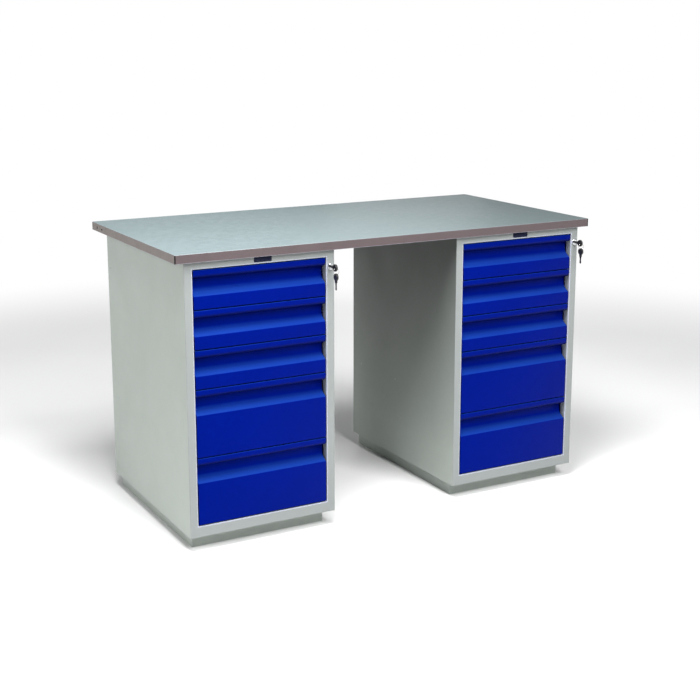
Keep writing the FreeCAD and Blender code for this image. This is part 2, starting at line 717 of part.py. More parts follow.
def make_key_ring(side):
    """A wire ring through the key's bow, hanging square to the lock's axis."""
    ring = doc.addObject("Part::Torus", f"{side}_key_ring")
    bind(ring, "Radius1", "ring_diameter / 2")
    bind(ring, "Radius2", "ring_wire / 2")
    ring.Placement.Rotation = FreeCAD.Rotation(FreeCAD.Vector(1, 0, 0), 90)
    return place_in_pedestal(ring, side, "(pedestal_width - right_stile / 2)", f"-{RING_HOLE_REACH}",
                             RING_HEIGHT)


def make_spare_key(side):
    """The second key, hanging blade down from the lowest point of the ring."""
    body = make_key(f"{side}_spare_key")
    body.Placement.Rotation = FreeCAD.Rotation(FreeCAD.Vector(1, 0, 0), -90)
    hole_height = f"({RING_HEIGHT} - ring_diameter / 2 - {RING_SEAT})"
    return place_in_pedestal(body, side, "(pedestal_width - right_stile / 2)", f"-{RING_HOLE_REACH}",
                             f"{hole_height} - key_hole_offset")


def build_all():
    """Make every piece and return those that become nodes."""
    nodes = [make_worktop_core(), make_worktop_cover(), make_worktop_screws(), make_badge_plates(),
             make_cabinet_runners(), make_lock_bodies()]
    for side in SIDES:
        nodes += [make_side_panel(side, hand) for hand in SIDES]
        nodes += [make_flat_panel(f"{side}_floor_panel", side, "plinth_height"), make_top_panel(side),
                  make_back_panel(side), make_front_frame(side), make_plinth(side)]
        for drawer in DRAWERS:
            nodes += [make_drawer_front(side, drawer), make_drawer_tray(side, drawer),
                      make_drawer_runners(side, drawer)]
        nodes += [make_lock_bar(side), make_lock_plug(side), make_lock_key(side), make_key_ring(side),
                  make_spare_key(side)]
    return nodes


def check_document():
    """Stop if any object failed, or if a pocket took nothing away."""
    for item in doc.Objects:
        failed = [state for state in item.State if state in ("Invalid", "Error")]
        if failed:
            raise RuntimeError(f"{item.Label} failed: {item.State}")
        if item.TypeId == "PartDesign::Pocket" and item.Shape.Volume >= item.BaseFeature.Shape.Volume - 1e-6:
            raise RuntimeError(f"{item.Label} in {item.getParentGeoFeatureGroup().Label} cuts nothing")


def export(nodes):
    """Write each node's shape to parts/NODE.step."""
    os.makedirs("parts", exist_ok=True)
    for node in nodes:
        shape = node.Shape
        if shape.isNull() or not shape.isValid():
            raise RuntimeError(f"{node.Label} has no valid shape")
        shape.exportStep(f"parts/{node.Label}.step")
        box = shape.BoundBox
        print(f"{node.Label}: {len(shape.Solids)} solids, {box.XLength:.1f} x {box.YLength:.1f} x"
              f" {box.ZLength:.1f} mm, low corner {box.XMin:.1f} {box.YMin:.1f} {box.ZMin:.1f}")


NODES = build_all()
doc.recompute()
check_document()
export(NODES)
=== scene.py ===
# %% [markdown]
# # A steel workbench with two drawer pedestals
# The bench has a zinc-coated worktop folded over a wooden core. It stands on two sheet
# steel pedestals, and each one holds five blue drawers behind a grey front frame. A
# cylinder lock with a pair of keys closes all the drawers of a pedestal.
# The model that gives the sizes is loaded first and never moved. The lesson then makes
# the finishes, replaces the pieces that need more shape, and ends with floor, light and
# camera.

# %% load the frame
import math
import bpy
import numpy as np
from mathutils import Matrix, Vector


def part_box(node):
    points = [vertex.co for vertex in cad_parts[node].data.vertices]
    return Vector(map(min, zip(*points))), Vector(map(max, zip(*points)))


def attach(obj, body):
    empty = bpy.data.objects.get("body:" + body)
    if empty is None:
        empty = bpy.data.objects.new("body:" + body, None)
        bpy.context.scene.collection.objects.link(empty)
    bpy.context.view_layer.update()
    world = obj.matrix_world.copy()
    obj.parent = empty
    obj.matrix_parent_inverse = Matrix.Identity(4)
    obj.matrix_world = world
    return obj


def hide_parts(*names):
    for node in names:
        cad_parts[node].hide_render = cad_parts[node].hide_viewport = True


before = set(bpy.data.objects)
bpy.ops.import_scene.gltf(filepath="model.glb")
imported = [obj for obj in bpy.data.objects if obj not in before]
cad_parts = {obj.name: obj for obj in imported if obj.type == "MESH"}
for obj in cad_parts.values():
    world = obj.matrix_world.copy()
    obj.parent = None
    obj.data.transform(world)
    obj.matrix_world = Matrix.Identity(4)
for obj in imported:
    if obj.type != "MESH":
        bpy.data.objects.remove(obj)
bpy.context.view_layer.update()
MM = 0.001
SIDES = ("left", "right")
DRAWERS = (1, 2, 3, 4, 5)

# %% [markdown]
# ## Wiring a finish
# Every finish is a node tree. Writing a tree by hand repeats the same three lines for
# each node, so two small helpers add a node with its values and join two sockets. They
# keep the recipes below short enough to read as recipes.

# %% node helpers
def start_finish(name):
    """A new finish: its material, its node tree and its main shader node."""
    material = bpy.data.materials.new(name)
    material.use_nodes = True
    tree = material.node_tree
    return material, tree, tree.nodes["Principled BSDF"]


def node(tree, kind, settings=None, **values):
    """Add one node; settings are its options and values are its unlinked sockets."""
    made = tree.nodes.new(kind)
    for option, value in (settings or {}).items():
        setattr(made, option, value)
    for socket, value in values.items():
        name = socket.replace("_", " ")
        if isinstance(value, bpy.types.NodeSocket):
            tree.links.new(value, made.inputs[name])
        else:
            made.inputs[name].default_value = value
    return made


def maths(tree, operation, first, second=0.0):
    """One arithmetic step between two sockets or numbers."""
    made = tree.nodes.new("ShaderNodeMath")
    made.operation = operation
    for index, value in enumerate((first, second)):
        if isinstance(value, bpy.types.NodeSocket):
            tree.links.new(value, made.inputs[index])
        else:
            made.inputs[index].default_value = value
    return made.outputs[0]


def blend_colours(tree, factor, first, second, mode="MIX"):
    """Mix two colours, given as sockets or as plain red, green and blue."""
    made = tree.nodes.new("ShaderNodeMix")
    made.data_type = "RGBA"
    made.blend_type = mode
    for index, value in ((0, factor), (6, first), (7, second)):
        if isinstance(value, bpy.types.NodeSocket):
            tree.links.new(value, made.inputs[index])
        elif index == 0:
            made.inputs[0].default_value = value
        else:
            made.inputs[index].default_value = (*value, 1.0)
    return made.outputs[2]


def rescale(tree, value, low, high, new_low, new_high):
    """Move a number from one range to another, without leaving the new one."""
    made = node(tree, "ShaderNodeMapRange", Value=value, From_Min=low, From_Max=high,
                To_Min=new_low, To_Max=new_high)
    return made.outputs["Result"]


def noise(tree, scale, detail=2.0, roughness=0.5, stretch=(1, 1, 1)):
    """Cloudy noise of about 1/scale metres, stretched along the object's own axes."""
    where = node(tree, "ShaderNodeTexCoord").outputs["Object"]
    turned = node(tree, "ShaderNodeMapping", Vector=where, Scale=stretch)
    cloud = node(tree, "ShaderNodeTexNoise", Vector=turned.outputs["Vector"], Scale=scale,
                 Detail=detail, Roughness=roughness)
    return cloud.outputs["Fac"]


def edge_mask(tree, radius):
    """Zero on flats and one on edges: how far a softened normal leans from the true one."""
    soft = node(tree, "ShaderNodeBevel", {"samples": 6}, Radius=radius)
    true = node(tree, "ShaderNodeNewGeometry")
    lean = tree.nodes.new("ShaderNodeVectorMath")
    lean.operation = "DOT_PRODUCT"
    tree.links.new(soft.outputs["Normal"], lean.inputs[0])
    tree.links.new(true.outputs["Normal"], lean.inputs[1])
    return rescale(tree, lean.outputs["Value"], 0.995, 0.80, 0.0, 1.0)


def relief(tree, heights, soft_edge):
    """A normal from several (height, depth in metres) pairs, over edges rounded a little."""
    normal = node(tree, "ShaderNodeBevel", {"samples": 6}, Radius=soft_edge).outputs["Normal"]
    for height, depth in heights:
        bump = node(tree, "ShaderNodeBump", Height=height, Distance=depth, Strength=1.0,
                    Normal=normal)
        normal = bump.outputs["Normal"]
    return normal


print("node helpers ready")

# %% [markdown]
# ## Powder-coated sheet
# The pedestals and drawer fronts are dry powder melted onto steel. That leaves a satin
# skin with a fine orange peel, one or two millimetres across and a few hundredths deep.
# Thin sheet is also never quite flat, so wide, very shallow waves bend its reflections.
# Powder draws back from sharp folds, where the coat looks paler; that paler edge is partly a
# painted highlight.
# The coat's colour drifts in faint clouds. Those are four noises and one edge mask, in one recipe
# for every painted colour.
# Two more tones are painted light and shade, chosen for looks and not part of a real coat. One
# darkens a sheet
# towards its top: painted shade for the deep shade under the worktop. The other makes slopes that
# face up paler and those that face down darker: painted highlight and painted shade for the bands
# along a folded front.

# %% powder coat recipe
def powder_coat(name, colour, worn_highlit_colour, cloud=0.02, edge=0.5, shine=0.4, gloss=0.3,
                gloss_tint=(1, 1, 1), edge_width=1.6 * MM, top_shade=1.0, window=None,
                painted_slope_highlight=None):
    """A satin paint: clouds in the colour, paler edges, orange peel and wavy sheet; the paler edges
    are partly thin coat and partly painted highlight.
    top_shade is how much of the colour is left at the top, a painted shade; window limits the pale
    edges to a frame's opening, where they are a painted highlight; the slope tone is a painted
    highlight on slopes that face up, and slopes that face down get painted shade."""
    material, tree, shader = start_finish(name)
    clouds = noise(tree, 3.5, 3.0)
    grain = noise(tree, 60.0, 2.0)
    dark = tuple(c * (1 - cloud) for c in colour)
    light = tuple(c * (1 + cloud) for c in colour)
    body = blend_colours(tree, rescale(tree, clouds, 0.3, 0.7, 0.0, 1.0), dark, light)
    speck = rescale(tree, grain, 0.35, 0.65, 1 - cloud / 2, 1 + cloud / 2)
    body = blend_colours(tree, 1.0, body, speck, "MULTIPLY")
    where = node(tree, "ShaderNodeTexCoord").outputs["Object"]
    height = node(tree, "ShaderNodeSeparateXYZ", Vector=where).outputs["Z"]
    # Painted shade: the colour darkens towards the top.
    shade = rescale(tree, height, 0.15, 0.80, 1.0, top_shade)
    body = blend_colours(tree, 1.0, body, shade, "MULTIPLY")
    # Painted highlight on slopes that face up and painted shade on slopes that face down.
    if painted_slope_highlight:
        facing = node(tree, "ShaderNodeTexCoord").outputs["Normal"]
        slope = node(tree, "ShaderNodeSeparateXYZ", Vector=facing).outputs["Z"]
        painted_highlight_share = rescale(tree, slope, 0.35, 0.84, 0.0, 0.70)
        painted_highlight_share = maths(tree, "MULTIPLY", painted_highlight_share, rescale(tree, clouds, 0.3, 0.7, 0.8, 1.0))
        body = blend_colours(tree, painted_highlight_share, body, painted_slope_highlight)
        painted_underside_shade = rescale(tree, slope, -0.1, -0.7, 1.0, 0.45)
        body = blend_colours(tree, 1.0, body, painted_underside_shade, "MULTIPLY")
    # Pale edges: partly thin coat at the folds and partly a painted highlight; round a frame's
    # opening they are a painted highlight.
    edge_wear_and_highlight = maths(tree, "MULTIPLY", edge_mask(tree, edge_width), edge)
    if window:
        across = node(tree, "ShaderNodeSeparateXYZ", Vector=where).outputs["X"]
        for value, centre, reach in ((maths(tree, "ABSOLUTE", across), window[0], window[1]),
                                     (height, window[2], window[3])):
            away = maths(tree, "ABSOLUTE", maths(tree, "SUBTRACT", value, centre))
            edge_wear_and_highlight = maths(tree, "MULTIPLY", edge_wear_and_highlight, maths(tree, "LESS_THAN", away, reach))
    body = blend_colours(tree, edge_wear_and_highlight, body, worn_highlit_colour)
    tree.links.new(body, shader.inputs["Base Color"])
    patchy = rescale(tree, noise(tree, 9.0, 4.0), 0.3, 0.7, shine - 0.05, shine + 0.06)
    tree.links.new(patchy, shader.inputs["Roughness"])
    peel = noise(tree, 750.0, 1.0)
    waves = noise(tree, 5.0, 0.0)
    normal = relief(tree, [(waves, 0.6 * MM), (peel, 0.02 * MM)], 0.8 * MM)
    tree.links.new(normal, shader.inputs["Normal"])
    shader.inputs["Specular IOR Level"].default_value = gloss
    shader.inputs["Specular Tint"].default_value = (*gloss_tint, 1.0)
    return material


GREY = (0.300, 0.332, 0.305)
GREY_WORN_HIGHLIT = (0.46, 0.48, 0.60)
side_grey = powder_coat("side_grey_coat", GREY, GREY_WORN_HIGHLIT)
front_low, front_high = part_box("right_front_frame")
opening_middle = (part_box("right_drawer_1_front")[0].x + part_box("right_drawer_1_front")[1].x) / 2
opening_window = (opening_middle, 0.211, (front_low.z + front_high.z) / 2, 0.382)
# The frame grey is a darker copy of the side grey, a painted shade, and its lilac edges round the
# opening are a painted highlight.
frame_grey = powder_coat("frame_grey_coat", (0.215, 0.232, 0.228), (0.58, 0.60, 0.84), edge=1.0,
                         edge_width=4.5 * MM, window=opening_window)
# The inner sides darken towards the top: painted shade for the knee space under the worktop.
inner_grey = powder_coat("inner_side_grey_coat", (0.300, 0.330, 0.305), GREY_WORN_HIGHLIT,
                         top_shade=0.24)
tray_grey = powder_coat("tray_grey_coat", (0.20, 0.208, 0.215), (0.30, 0.31, 0.33), shine=0.5)
# The blue's slope tone is a painted highlight on each grip's upward slope; its undersides get
# painted shade.
drawer_blue = powder_coat("drawer_blue_coat", (0.0001, 0.0046, 0.138), (0.001, 0.020, 0.26),
                          cloud=0.05, edge=0.35, shine=0.42, gloss=0.10,
                          gloss_tint=(0.01, 0.16, 1.0), painted_slope_highlight=(0.007, 0.034, 0.205))
print("painted finishes:", side_grey.name, frame_grey.name, tray_grey.name, drawer_blue.name)

# %% [markdown]
# ## Zinc-coated worktop
# The worktop's skin is hot-dip galvanised sheet. The zinc freezes in flat crystals a
# centimetre or two across, each a slightly different grey, and rolling leaves fine lines
# along the sheet. Use adds short scratches in all directions. A cell pattern gives the
# crystals, noise stretched along the bench gives the rolling lines, and the folded edges
# get warmer, darker tones, a painted reflection, with a painted highlight along each fold. The top
# also darkens gently from left to right, a painted shade chosen for looks.

# %% galvanised sheet recipe
def galvanised(name):
    """Zinc crystals, rolling lines, fine scratches, a painted reflection and a painted highlight on
    the folded edges, and painted shade from left to right.
    """
    material, tree, shader = start_finish(name)
    where = node(tree, "ShaderNodeTexCoord").outputs["Object"]
    wobble = node(tree, "ShaderNodeTexNoise", Vector=where, Scale=40.0, Detail=2.0)
    bent = blend_colours(tree, 0.012, where, wobble.outputs["Color"], "ADD")
    cells = node(tree, "ShaderNodeTexVoronoi", Vector=bent, Scale=70.0, Randomness=1.0)
    crystal = node(tree, "ShaderNodeSeparateColor", Color=cells.outputs["Color"]).outputs["Red"]
    lines = noise(tree, 2.5, 3.0, stretch=(1, 220, 220))
    scratch = noise(tree, 5.0, 6.0, 0.8, stretch=(9, 60, 9))
    clouds = noise(tree, 1.6, 2.0)
    body = blend_colours(tree, crystal, (0.215, 0.268, 0.277), (0.229, 0.284, 0.293))
    body = blend_colours(tree, 1.0, body, rescale(tree, clouds, 0.3, 0.7, 0.97, 1.03), "MULTIPLY")
    body = blend_colours(tree, 1.0, body, rescale(tree, lines, 0.3, 0.7, 0.98, 1.02), "MULTIPLY")
    # Painted shade: the top darkens from left to right.
    across = node(tree, "ShaderNodeSeparateXYZ", Vector=where).outputs["X"]
    painted_shade_rightward = node(tree, "ShaderNodeMapRange", {"interpolation_type": "SMOOTHSTEP"}, Value=across,
                From_Min=-0.35, From_Max=0.75, To_Min=1.0, To_Max=0.62).outputs["Result"]
    body = blend_colours(tree, 1.0, body, painted_shade_rightward, "MULTIPLY")
    # Painted reflection: the folded ends and front take warm, dark tones, mottled by a noise.
    facing = node(tree, "ShaderNodeTexCoord").outputs["Normal"]
    upright = node(tree, "ShaderNodeSeparateXYZ", Vector=facing).outputs["Z"]
    folded = rescale(tree, maths(tree, "ABSOLUTE", upright), 0.75, 0.25, 0.0, 1.0)
    frontal = node(tree, "ShaderNodeSeparateXYZ", Vector=facing).outputs["Y"]
    front = rescale(tree, maths(tree, "ABSOLUTE", frontal), 0.4, 0.8, 0.0, 1.0)
    reflection_mottle = noise(tree, 14.0, 3.0)
    end_painted_reflection = blend_colours(tree, reflection_mottle, (0.142, 0.120, 0.113), (0.189, 0.166, 0.154))
    front_painted_reflection = blend_colours(tree, reflection_mottle, (0.083, 0.062, 0.065), (0.104, 0.079, 0.082))
    fold_painted_reflection = blend_colours(tree, front, end_painted_reflection, front_painted_reflection)
    body = blend_colours(tree, folded, body, fold_painted_reflection)
    # Painted highlight: a pale lilac line along every fold.
    edge_wear_and_highlight = maths(tree, "MULTIPLY", edge_mask(tree, 2.2 * MM), 0.85)
    body = blend_colours(tree, edge_wear_and_highlight, body, (0.42, 0.42, 0.50))
    tree.links.new(body, shader.inputs["Base Color"])
    dull = rescale(tree, scratch, 0.35, 0.65, 0.40, 0.52)
    dull = maths(tree, "ADD", dull, maths(tree, "MULTIPLY", crystal, 0.05))
    tree.links.new(dull, shader.inputs["Roughness"])
    normal = relief(tree, [(lines, 0.02 * MM), (scratch, 0.015 * MM), (crystal, 0.004 * MM)],
                    1.0 * MM)
    tree.links.new(normal, shader.inputs["Normal"])
    shader.inputs["Metallic"].default_value = 0.35
    return material


worktop_zinc = galvanised("worktop_zinc_sheet")
print("worktop finish:", worktop_zinc.name)

# %% [markdown]
# ## Bare metal, wood and moulded black
# Runners and screws are bright zinc plate with a faint iridescent patchiness, the lock
# is polished chrome with fingermarks in its gloss, the key ring is drawn nickel wire, and
# the key blades are dark steel. All four are one recipe with different colour, gloss and
# line direction. The core's
# edge is plywood kept almost black, and the key bows are moulded plastic with a fine
# spark-eroded grain that wears smooth on its corners.

# %% metal recipe
def bare_metal(name, dark, light, gloss, line_scale, line_depth, stretch=(1, 1, 1)):
    """A metal whose colour drifts between two tones, with drawn lines and uneven gloss."""
    material, tree, shader = start_finish(name)
    drift = rescale(tree, noise(tree, 30.0, 3.0), 0.35, 0.65, 0.0, 1.0)
    tree.links.new(blend_colours(tree, drift, dark, light), shader.inputs["Base Color"])
    lines = noise(tree, line_scale, 3.0, stretch=stretch)
    smear = rescale(tree, noise(tree, 120.0, 4.0), 0.3, 0.7, gloss * 0.8, gloss * 1.4)
    tree.links.new(smear, shader.inputs["Roughness"])
    normal = relief(tree, [(lines, line_depth)], 0.4 * MM)
    tree.links.new(normal, shader.inputs["Normal"])
    shader.inputs["Metallic"].default_value = 1.0
    return material


plated = bare_metal("zinc_plate", (0.50, 0.51, 0.50), (0.62, 0.62, 0.58), 0.34, 90.0, 0.01 * MM,
                    (1, 0.05, 1))
chrome = bare_metal("lock_chrome", (0.62, 0.63, 0.65), (0.74, 0.75, 0.76), 0.13, 900.0,
                    0.002 * MM)
nickel = bare_metal("ring_nickel", (0.58, 0.57, 0.55), (0.70, 0.69, 0.66), 0.20, 1500.0,
                    0.004 * MM)
blued = bare_metal("blade_dark_steel", (0.035, 0.035, 0.038), (0.070, 0.070, 0.075), 0.38,
                   1200.0, 0.006 * MM, (1, 0.1, 1))
print("metals:", plated.name, chrome.name, nickel.name, blued.name)

# %% wood and plastic recipes
def near_black_plywood(name):
    """Thin plies seen on edge, alternating dark and darker, all near black."""
    material, tree, shader = start_finish(name)
    plies = noise(tree, 3.0, 3.0, stretch=(1, 1, 180))
    grain = noise(tree, 5.0, 5.0, 0.6, stretch=(1, 30, 60))
    body = blend_colours(tree, rescale(tree, plies, 0.4, 0.6, 0, 1), (0.030, 0.022, 0.016),
                         (0.075, 0.055, 0.038))
    body = blend_colours(tree, rescale(tree, grain, 0.45, 0.75, 0, 0.5), body,
                         (0.020, 0.015, 0.011))
    tree.links.new(body, shader.inputs["Base Color"])
    tree.links.new(rescale(tree, grain, 0.3, 0.7, 0.55, 0.75), shader.inputs["Roughness"])
    tree.links.new(relief(tree, [(plies, 0.15 * MM), (grain, 0.1 * MM)], 0.5 * MM),
                   shader.inputs["Normal"])
    return material


def moulded(name, colour, worn, shine=0.38, gloss=0.4):
    """Moulded plastic: a fine even grain, smoother and paler where fingers rub its edges."""
    material, tree, shader = start_finish(name)
    grain = noise(tree, 2600.0, 2.0)
    rub = edge_mask(tree, 0.7 * MM)
    tone = rescale(tree, noise(tree, 90.0, 3.0), 0.35, 0.65, 0.0, 0.5)
    body = blend_colours(tree, tone, colour, worn)
    body = blend_colours(tree, maths(tree, "MULTIPLY", rub, 0.6), body, worn)
    tree.links.new(body, shader.inputs["Base Color"])
    tree.links.new(rescale(tree, rub, 0.0, 1.0, shine, shine - 0.12), shader.inputs["Roughness"])
    tree.links.new(relief(tree, [(grain, 0.012 * MM)], 0.3 * MM), shader.inputs["Normal"])
    shader.inputs["Specular IOR Level"].default_value = gloss
    return material


plywood = near_black_plywood("near_black_plywood_core")
black_plastic = moulded("key_black_plastic", (0.006, 0.006, 0.006), (0.020, 0.020, 0.021))
corner_black = moulded("corner_dark_strip", (0.004, 0.004, 0.004), (0.012, 0.011, 0.010), 0.6,
                       0.1)
badge_navy = moulded("badge_dark_enamel", (0.002, 0.003, 0.016), (0.020, 0.026, 0.055), 0.55, 0.12)
print("wood and plastic:", plywood.name, black_plastic.name, badge_navy.name)

# %% [markdown]
# ## Dressing the loaded nodes
# Each node arrives with a plain material named after its slot. The new finish goes into
# the same place, so a node's slot still says what it is. Most grey sheets and the plinths
# share one grey. The front frames have a darker copy of it, a painted shade, with a painted
# highlight along the edges round the opening, and the inner sides have one that darkens towards the
# top, a painted shade.

# %% give every node its finish
FINISH_OF_SLOT = {
    "plywood": plywood,
    "galvanised_sheet": worktop_zinc,
    "zinc_steel": plated,
    "badge": badge_navy,
    "chrome": chrome,
    "light_grey_paint": side_grey,
    "blue_paint": drawer_blue,
    "tray_grey_paint": tray_grey,
    "black_plastic": black_plastic,
    "bright_wire": nickel,
}
for name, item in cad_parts.items():
    for place in item.material_slots:
        slot_name = place.material.name.split(".")[0]
        finish = FINISH_OF_SLOT[slot_name]
        if name.endswith("front_frame"):
            finish = frame_grey
        if name.endswith("inner_side"):
            finish = inner_grey
        place.material = finish
print("nodes dressed:", len(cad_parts))

# %% [markdown]
# ## Meshes from whole arrays
# The new pieces are outlines carried along a line. An outline is a closed ring of points.
# A stack of such rings, each at its own height and drawn in by its own amount, makes a
# plate, a folded front or a key blade with rounded rims. Working on whole arrays keeps it
# fast and makes each shape a formula that can be read.

# %% outline helpers
def rounded_outline(corners, radii, steps=8):
    """Closed polygon with each corner turned into an arc.
    Along both edges the arc starts radius / tan(half angle) from the corner, and its
    centre lies radius / sin(half angle) along the corner's bisector."""
    corner = np.asarray(corners, float)
    radius = np.asarray(radii, float)[:, None]
    back = np.roll(corner, 1, axis=0) - corner
    on = np.roll(corner, -1, axis=0) - corner
    back = back / np.linalg.norm(back, axis=1, keepdims=True)
    on = on / np.linalg.norm(on, axis=1, keepdims=True)
    half = np.arccos(np.clip((back * on).sum(1, keepdims=True), -1, 1)) / 2
    middle = (back + on) / np.linalg.norm(back + on, axis=1, keepdims=True)
    centre = corner + middle * radius / np.sin(half)
    first = corner + back * radius / np.tan(half) - centre
    last = corner + on * radius / np.tan(half) - centre
    sweep = np.pi - 2 * half
    share = np.linspace(0, 1, steps)[None, :, None]
    turn = sweep[:, :, None]
    arc = np.sin((1 - share) * turn) * first[:, None] + np.sin(share * turn) * last[:, None]
    arc = arc / np.sin(turn) + centre[:, None]
    return arc.reshape(-1, 2)


def inward_normals(ring):
    """Unit normals of a closed ring, pointing into it: its tangent turned a quarter."""
    along = np.roll(ring, -1, axis=0) - np.roll(ring, 1, axis=0)
    along = along / np.linalg.norm(along, axis=1, keepdims=True)
    left = np.stack([-along[:, 1], along[:, 0]], axis=1)
    following = np.roll(ring, -1, axis=0)
    area = (ring[:, 0] * following[:, 1] - ring[:, 1] * following[:, 0]).sum()
    return left * np.sign(area)


def ring_faces(rings, around, closed=False):
    """Quads between neighbouring rings of equally many points; closed joins last to first."""
    i = np.arange(rings if closed else rings - 1)
    i, j = np.meshgrid(i, np.arange(around), indexing="ij")
    above = (i + 1) % rings
    beside = (j + 1) % around
    quads = [i * around + j, above * around + j, above * around + beside, i * around + beside]
    return np.stack(quads, axis=-1).reshape(-1, 4)


def end_caps(rings, around):
    """The two faces that close a tube: its first ring turned round, and its last ring."""
    return [list(range(around))[::-1], list(range((rings - 1) * around, rings * around))]


def signed_volume(points, faces):
    """Six times the volume inside the faces, by the sum of corner triple products."""
    total = 0.0
    for face in faces:
        fan = points[np.asarray(face)]
        total += np.einsum("ij,ij->i", np.cross(fan[1:-1], fan[2:]),
                           np.broadcast_to(fan[0], fan[1:-1].shape)).sum()
    return total


def rounded_rim(length, radius, steps=4):
    """(inset, height) levels of a block whose two ends are rounded by a quarter circle."""
    turn = np.linspace(0, np.pi / 2, steps)
    low = np.stack([radius * (1 - np.sin(turn)), radius * (1 - np.cos(turn))], axis=1)
    high = np.stack([low[::-1, 0], length - low[::-1, 1]], axis=1)
    return np.concatenate([low, high])


print("outline helpers ready")

# %% piece helpers
def make_piece(name, points, faces, finish, body, stands_for=()):
    """Put the arrays in a mesh, faces outwards, and hang the piece on its body."""
    faces = [list(map(int, face)) for face in faces]
    if signed_volume(points, faces) < 0:
        faces = [face[::-1] for face in faces]
    mesh = bpy.data.meshes.new(name)
    mesh.from_pydata(points.tolist(), [], faces)
    mesh.validate()
    mesh.shade_smooth()
    mesh.set_sharp_from_angle(angle=math.radians(50))
    mesh.materials.append(finish)
    item = bpy.data.objects.new(name, mesh)
    bpy.context.scene.collection.objects.link(item)
    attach(item, body)
    if stands_for:
        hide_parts(*stands_for)
    return item


def stack(outline, levels):
    """Rings of the outline, ring k drawn in by levels[k][0] and lifted to levels[k][1]."""
    levels = np.asarray(levels, float)
    inset = levels[:, 0][:, None, None]
    flat = outline[None] + inward_normals(outline)[None] * inset
    height = np.broadcast_to(levels[:, 1][:, None, None], flat.shape[:2] + (1,))
    rings, around = flat.shape[:2]
    faces = ring_faces(rings, around).tolist()
    faces += end_caps(rings, around)
    return np.concatenate([flat, height], axis=2).reshape(-1, 3), faces


print("piece helpers ready")

# %% [markdown]
# ## Drawer fronts
# A front is one sheet folded along its whole width. Below a flat band it turns back into
# a deep finger grip, then comes forward down a slope that runs smoothly into the face.
# The loaded front has that shape with sharp inner folds. On the real one the press brake
# leaves generous bends, and they carry the soft light and dark bands across each drawer.
# So the section is drawn again with a radius for each bend, and carried along the width.

# %% fold and hang the drawer fronts
GRIP_BAND = 22.5 * MM
GRIP_WALL = 33.5 * MM
GRIP_SLANT = 16.0 * MM
SHEET = 1.0 * MM


def front_section(low, high):
    """The folded front's outline across the bench: depth first, height second."""
    face = low.y
    rear = high.y
    wall = rear - SHEET
    lip = high.z - GRIP_BAND
    wall_foot = lip - GRIP_WALL
    slant_foot = wall_foot - GRIP_SLANT
    corners = [(face, low.z), (rear, low.z), (rear, high.z), (face, high.z), (face, lip),
               (wall, lip), (wall, wall_foot), (face, slant_foot)]
    radii = np.array([1.5, 0.5, 0.5, 1.5, 12.0, 10.0, 22.0, 2.5]) * MM
    return rounded_outline(corners, radii, 10)


for side in SIDES:
    for drawer in DRAWERS:
        label = f"{side}_drawer_{drawer}"
        low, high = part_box(f"{label}_front")
        section = front_section(low, high)
        points, faces = stack(section, rounded_rim(high.x - low.x, 0.45 * MM))
        points = points[:, [2, 0, 1]] + np.array([low.x, 0, 0])
        make_piece(f"{label}_folded_front", points, faces, drawer_blue, label,
                   [f"{label}_front"])
print("drawer fronts: 10, each", len(section), "points round its section")

# %% [markdown]
# ## Keys
# Each lock has a key in it and a spare on the same ring. A key is a dark steel blade
# with a round black bow moulded over its end. The bow is a disc with a hole
# beside its middle, so it is drawn as a band between two circles that aren't
# concentric: the hole and the rim. The blade is a flat outline with cuts along both
# edges.

# %% key shapes
BOW_RADIUS = 10.5 * MM
BOW_THICK = 7.0 * MM
HOLE_RADIUS = 2.5 * MM
HOLE_OFFSET = 5.0 * MM
BLADE_END = 38.5 * MM
NECK_END = 16.5 * MM


def bow_surface(around=56, through=28):
    """A disc with a hole off its middle.
    Ring angle t runs round the key, and section angle s round the band between the hole
    and the rim. Across the band a point lies (1 - cos s) / 2 of the way from hole to
    rim, squared off by a superellipse, and its thickness follows sin s the same way,
    less a shallow dish in each face."""
    t = np.linspace(0, 2 * np.pi, around, endpoint=False)[:, None]
    s = np.linspace(0, 2 * np.pi, through, endpoint=False)[None, :]
    square = 0.38
    across = 0.5 - 0.5 * np.sign(np.cos(s)) * np.abs(np.cos(s)) ** square
    thick = np.sign(np.sin(s)) * np.abs(np.sin(s)) ** square * BOW_THICK / 2
    dish = 0.7 * MM * np.clip(np.sin(np.pi * across), 0, 1) ** 0.7
    thick = thick - np.sign(thick) * dish * (np.abs(thick) > BOW_THICK / 3)
    hole = np.stack([HOLE_RADIUS * np.cos(t) - HOLE_OFFSET, HOLE_RADIUS * np.sin(t)], axis=-1)
    rim = np.stack([BOW_RADIUS * np.cos(t), BOW_RADIUS * np.sin(t)], axis=-1)
    flat = hole + (rim - hole) * across[..., None]
    thick = np.broadcast_to(thick[..., None], flat.shape[:2] + (1,))
    points = np.concatenate([thick, flat], axis=2).reshape(-1, 3)
    return points, ring_faces(around, through, closed=True)


def blade_surface():
    """The blade's outline with its cuts, as a plate two millimetres thick."""
    start = 8.0 * MM
    cut = np.array([0.0, 0.0, 1.1, 1.1, 0.4, 1.5, 1.5, 0.6, 1.2, 1.2, 0.3, 0.9, 0.0]) * MM
    along = np.linspace(NECK_END + 2 * MM, BLADE_END - 3.75 * MM, len(cut))
    half = 3.7 * MM
    upper = np.stack([along, half - cut], axis=1)
    lower = np.stack([along, cut[::-1] - half], axis=1)[::-1]
    tip = np.array([[BLADE_END, 0.6 * MM], [BLADE_END, -0.6 * MM]])
    root = np.array([[start, -half], [start, half]])
    outline = np.concatenate([upper, tip, lower, root])
    points, faces = stack(outline, rounded_rim(1.9 * MM, 0.15 * MM, 3))
    points = points[:, [2, 0, 1]] - np.array([0.95 * MM, 0, 0])
    return points, faces


